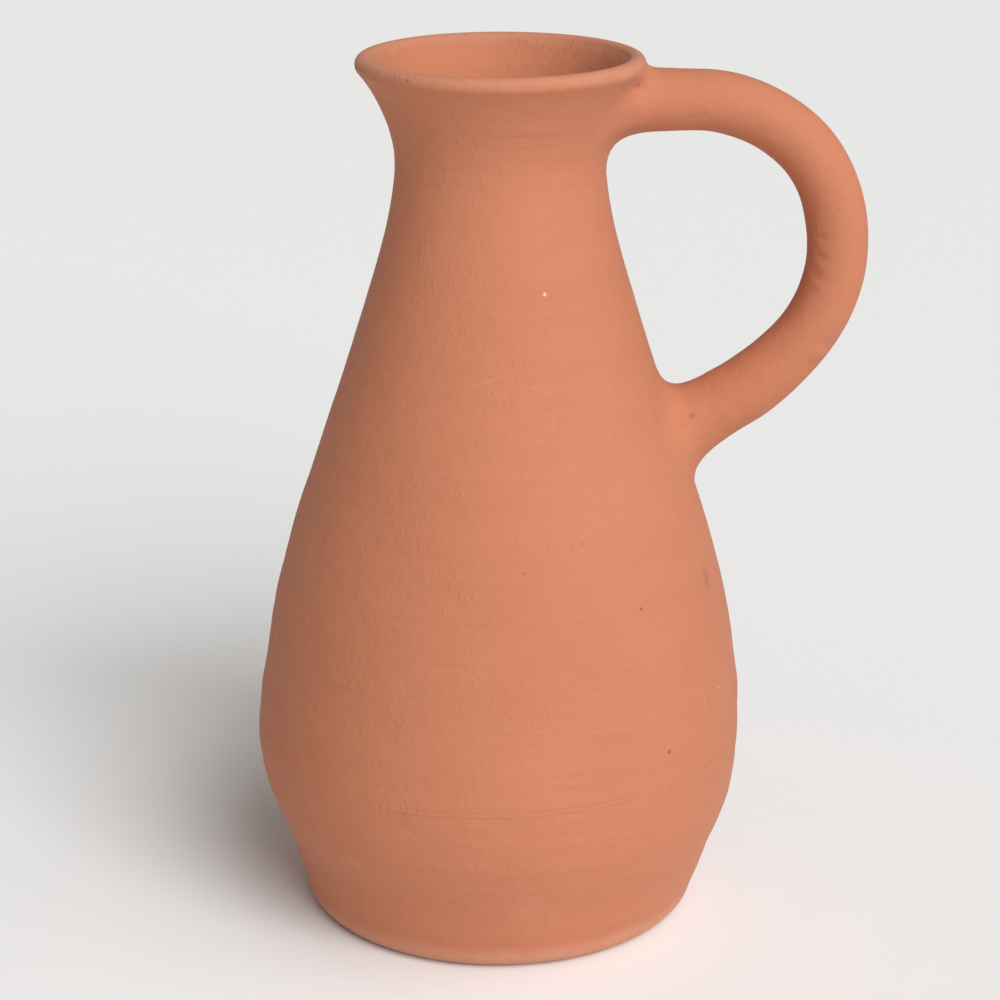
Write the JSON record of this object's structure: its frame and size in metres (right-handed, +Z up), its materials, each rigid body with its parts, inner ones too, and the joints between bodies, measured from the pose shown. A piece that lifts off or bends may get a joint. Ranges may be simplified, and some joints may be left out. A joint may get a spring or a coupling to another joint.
{
  "type": "pitcher",
  "caption": "Tall unglazed terracotta pitcher with a low pear-shaped belly, a tapering neck, a flared mouth with a rounded lip and a rolled side handle.",
  "frame": {"origin": "centre of the flat base, on the axis the body was thrown about", "axes": "+Z up along the wheel axis towards the mouth, +X from the wheel axis towards the handle, and the handle lies in the XZ plane"},
  "size_m": [0.1932, 0.157, 0.28],
  "materials": {
    "thrown_terracotta": "matte unglazed terracotta with throwing marks",
    "rolled_terracotta": "matte unglazed terracotta, wiped smooth",
    "luting_clay": "matte unglazed terracotta, wiped smooth by finger"
  },
  "bodies": {
    "root": {"body": "thrown_terracotta", "handle": "rolled_terracotta", "upper_luting": "luting_clay", "lower_luting": "luting_clay"}
  },
  "joints": []
}
